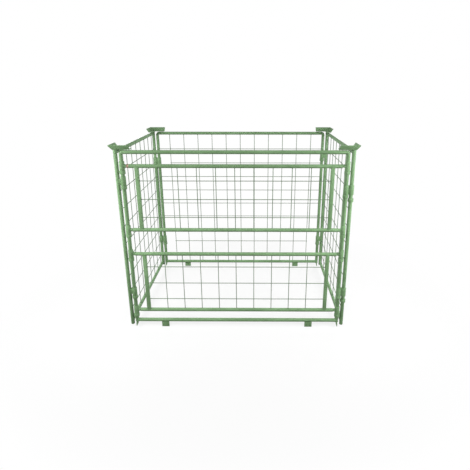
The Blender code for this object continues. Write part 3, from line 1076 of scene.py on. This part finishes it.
class COLLAR_OT_paint(Operator):
    """Coats the tubes green and the wires a greyer green, and leaves the pins bare steel"""
    bl_idname = "collar.paint"
    bl_label = "Coat and bare steel"

    def execute(self, context):
        paint = context.scene.collar_paint
        coat = coat_material("green_powder_coat", paint.coat, paint, TUBE_RUBBED)
        wires = coat_material("wire_powder_coat", paint.wire_coat, paint, WIRE_RUBBED)
        steel = steel_material("worn_bare_steel", paint)
        s = sizes()
        shoulder = high("upper_flap_top_bar").x - s.pin_length
        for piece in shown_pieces():
            mesh = piece.data
            mesh.materials.clear()
            mesh.materials.append(wires if piece.name.endswith("_mesh") else coat)
            if piece.name.endswith(("_flap_top_tube", "_flap_bottom_tube")):
                mesh.materials.append(steel)
                bare = {side: shoulder + COAT_END for side in SIDES.values()}
                if piece.name == "upper_flap_top_tube":
                    bare[SIDES["left"]] = shoulder - s.worn_end
                for face in mesh.polygons:
                    face.material_index = int(any(side * face.center.x > start
                                                  for side, start in bare.items()))
        return {"FINISHED"}


# Stage

# Where each lamp stands, the point that it faces, and its size; a pair is mirrored to the left
TOP_LAMP = (0.0, 0.0, 3.9), (0.0, 0.0, 0.6), 2.6
FRONT_LAMP = (0.0, -2.3, 2.05), (0.0, 0.0, 0.6), 1.0
SIDE_LAMP = (1.6, -0.9, 1.15), (0.63, -0.15, 0.5), 0.9
REAR_LAMP = (1.9, 2.2, 0.9), (0.3, 0.2, 0.55), 1.4
SIDE_SPREAD = math.radians(100)
FLOOR_SIZE = 60.0
# Between these distances from the middle the floor glows from the first share to the second
FLOOR_FADE = 0.7, 1.5, 0.80, 1.0


class COLLAR_OT_stage(Operator):
    """Sets the pale floor, the even light, the lamps and the camera"""
    bl_idname = "collar.stage"
    bl_label = "Stage"

    def empty_tree(self, owner, kind):
        """The nodes of a material or a world, cleared down to an output."""
        owner.use_nodes = True
        tree = owner.node_tree
        tree.nodes.clear()
        return tree, add_node(tree, "Output" + kind)

    def floor_material(self, stage):
        """Pale floor that the camera sees almost white, with the collar's shadow kept."""
        material = bpy.data.materials.new("studio_floor")
        tree, output = self.empty_tree(material, "Material")
        plain = add_node(tree, "BsdfDiffuse")
        glow = add_node(tree, "Emission", Color=(*stage.backdrop, 1.0))
        seen = self.seen(tree)
        tree.links.new(blend(tree, seen, stage.floor_bounce, stage.floor), plain.inputs["Color"])
        place = add_node(tree, "TexCoord")
        distance = add_node(tree, "VectorMath")
        distance.operation = "LENGTH"
        tree.links.new(place.outputs["Object"], distance.inputs[0])
        fade = window(tree, distance.outputs["Value"], *FLOOR_FADE)
        share = calculate(tree, "MULTIPLY", seen, fade)
        self.mix_into(tree, output, share, plain, glow)
        return material

    def mix_into(self, tree, output, share, first, second):
        mix = add_node(tree, "MixShader")
        for socket, source in zip(mix.inputs, (share, first.outputs[0], second.outputs[0])):
            tree.links.new(source, socket)
        tree.links.new(mix.outputs[0], output.inputs["Surface"])

    def seen(self, tree):
        """One where the camera, a glossy ray or a clear ray looks."""
        path = add_node(tree, "LightPath")
        value = path.outputs["Is Camera Ray"]
        for name in ("Is Glossy Ray", "Is Transmission Ray"):
            value = calculate(tree, "MAXIMUM", value, path.outputs[name])
        return value

    def build_world(self, scene, stage):
        world = bpy.data.worlds.new("studio")
        scene.world = world
        tree, output = self.empty_tree(world, "World")
        soft = add_node(tree, "Background", Strength=stage.sky_strength)
        plain = add_node(tree, "Background", Color=(*stage.backdrop, 1.0), Strength=1.0)
        self.mix_into(tree, output, self.seen(tree), soft, plain)

    def lamp(self, name, setting, power, side=1, spread=math.pi):
        clear_selection()
        place, target, size = setting
        place, target = (Vector((side * spot[0], *spot[1:])) for spot in (place, target))
        aim = (target - place).to_track_quat("-Z", "Y").to_euler()
        bpy.ops.object.light_add(type="AREA", location=place, rotation=aim)
        lamp = bpy.context.object
        lamp.name = lamp.data.name = name
        lamp.data.size = size
        lamp.data.energy = power
        lamp.data.spread = spread

    def execute(self, context):
        scene = context.scene
        stage = scene.collar_stage
        clear_selection()
        bpy.ops.mesh.primitive_plane_add(size=FLOOR_SIZE)
        floor = bpy.context.object
        floor.name = "floor"
        floor.data.materials.append(self.floor_material(stage))
        floor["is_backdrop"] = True
        self.build_world(scene, stage)
        self.lamp("top_lamp", TOP_LAMP, stage.top_power)
        self.lamp("front_lamp", FRONT_LAMP, stage.front_power)
        for name, side in SIDES.items():
            self.lamp(name + "_lamp", SIDE_LAMP, stage.side_power, side, SIDE_SPREAD)
            self.lamp(name + "_rear_lamp", REAR_LAMP, stage.rear_power, side)
        bpy.ops.object.camera_add(location=stage.eye,
                                  rotation=(QUARTER - stage.tilt, 0, stage.turn))
        camera = bpy.context.object
        camera.name = "camera"
        camera.data.lens = stage.lens
        camera.data.shift_x, camera.data.shift_y = stage.shift
        scene.camera = camera
        scene.view_settings.view_transform = "Standard"
        return {"FINISHED"}


# Panel and running order


STEPS = (COLLAR_OT_hoops, COLLAR_OT_sills, COLLAR_OT_stop_rings, COLLAR_OT_feet,
         COLLAR_OT_side_frames, COLLAR_OT_wall_meshes, COLLAR_OT_corner_links,
         COLLAR_OT_flap_frames, COLLAR_OT_flap_meshes, COLLAR_OT_hinge_sleeves,
         COLLAR_OT_lock_sleeves, COLLAR_OT_stacking_brackets, COLLAR_OT_paint, COLLAR_OT_stage)


class COLLAR_PT_panel(Panel):
    """Lists the sizes, the colours and the steps in their order"""
    bl_label = "Folding mesh collar"
    bl_idname = "COLLAR_PT_panel"
    bl_space_type = "VIEW_3D"
    bl_region_type = "UI"
    bl_category = "Collar"

    def draw(self, context):
        layout = self.layout
        for group in (getattr(context.scene, name) for name in GROUPS):
            box = layout.box()
            for name in type(group).__annotations__:
                box.prop(group, name)
        for step in STEPS:
            layout.operator(step.bl_idname)


GROUPS = {"collar_sizes": CollarSizes, "collar_paint": CollarPaint, "collar_stage": CollarStage}
CLASSES = (*GROUPS.values(), *STEPS, COLLAR_PT_panel)


def register():
    for item in CLASSES:
        bpy.utils.register_class(item)
    for name, group in GROUPS.items():
        setattr(bpy.types.Scene, name, PointerProperty(type=group))


def unregister():
    for name in GROUPS:
        delattr(bpy.types.Scene, name)
    for item in reversed(CLASSES):
        bpy.utils.unregister_class(item)


def main():
    register()
    for step in STEPS:
        group, name = step.bl_idname.split(".")
        getattr(getattr(bpy.ops, group), name)()


if __name__ == "__main__":
    main()
